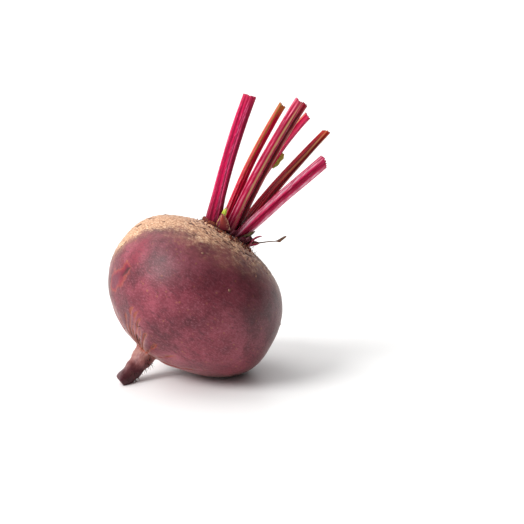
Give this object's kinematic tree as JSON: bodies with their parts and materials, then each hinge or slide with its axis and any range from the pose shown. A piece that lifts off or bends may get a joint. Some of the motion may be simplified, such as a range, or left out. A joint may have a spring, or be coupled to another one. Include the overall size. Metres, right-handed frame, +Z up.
{
  "type": "beetroot",
  "caption": "Fresh beetroot lying on its side, a round root with a cut taproot and a fan of short cut leaf stalks on its crown.",
  "frame": {"origin": "middle of the small flat spot under the root, where it carries its weight on the table", "axes": "+Z up, +X the side the crown leans to, with the cut taproot at -X, and -Y the front"},
  "size_m": [0.0923, 0.0733, 0.1175],
  "materials": {
    "skin": "satin",
    "stalk_crimson": "satin",
    "stalk_russet": "satin",
    "stalk_pink": "satin",
    "stalk_dark": "satin",
    "bud_green": "satin",
    "shoot_dark": "matte",
    "shoot_red": "satin",
    "dry_brown": "matte",
    "leaf_green": "matte"
  },
  "bodies": {
    "root": {"root_body": "skin", "stalk_1": "stalk_crimson", "stalk_2": "stalk_russet", "stalk_3": "stalk_pink", "stalk_4": "stalk_dark", "stalk_5": "stalk_crimson", "stalk_6": "stalk_dark", "stalk_7": "stalk_pink", "bud": "bud_green", "shoot_dark": "shoot_dark", "shoot_thin": "shoot_red", "nub": "shoot_red", "dry_leaf": "dry_brown", "dry_scale": "dry_brown", "leaf_scrap": "leaf_green"}
  },
  "joints": []
}
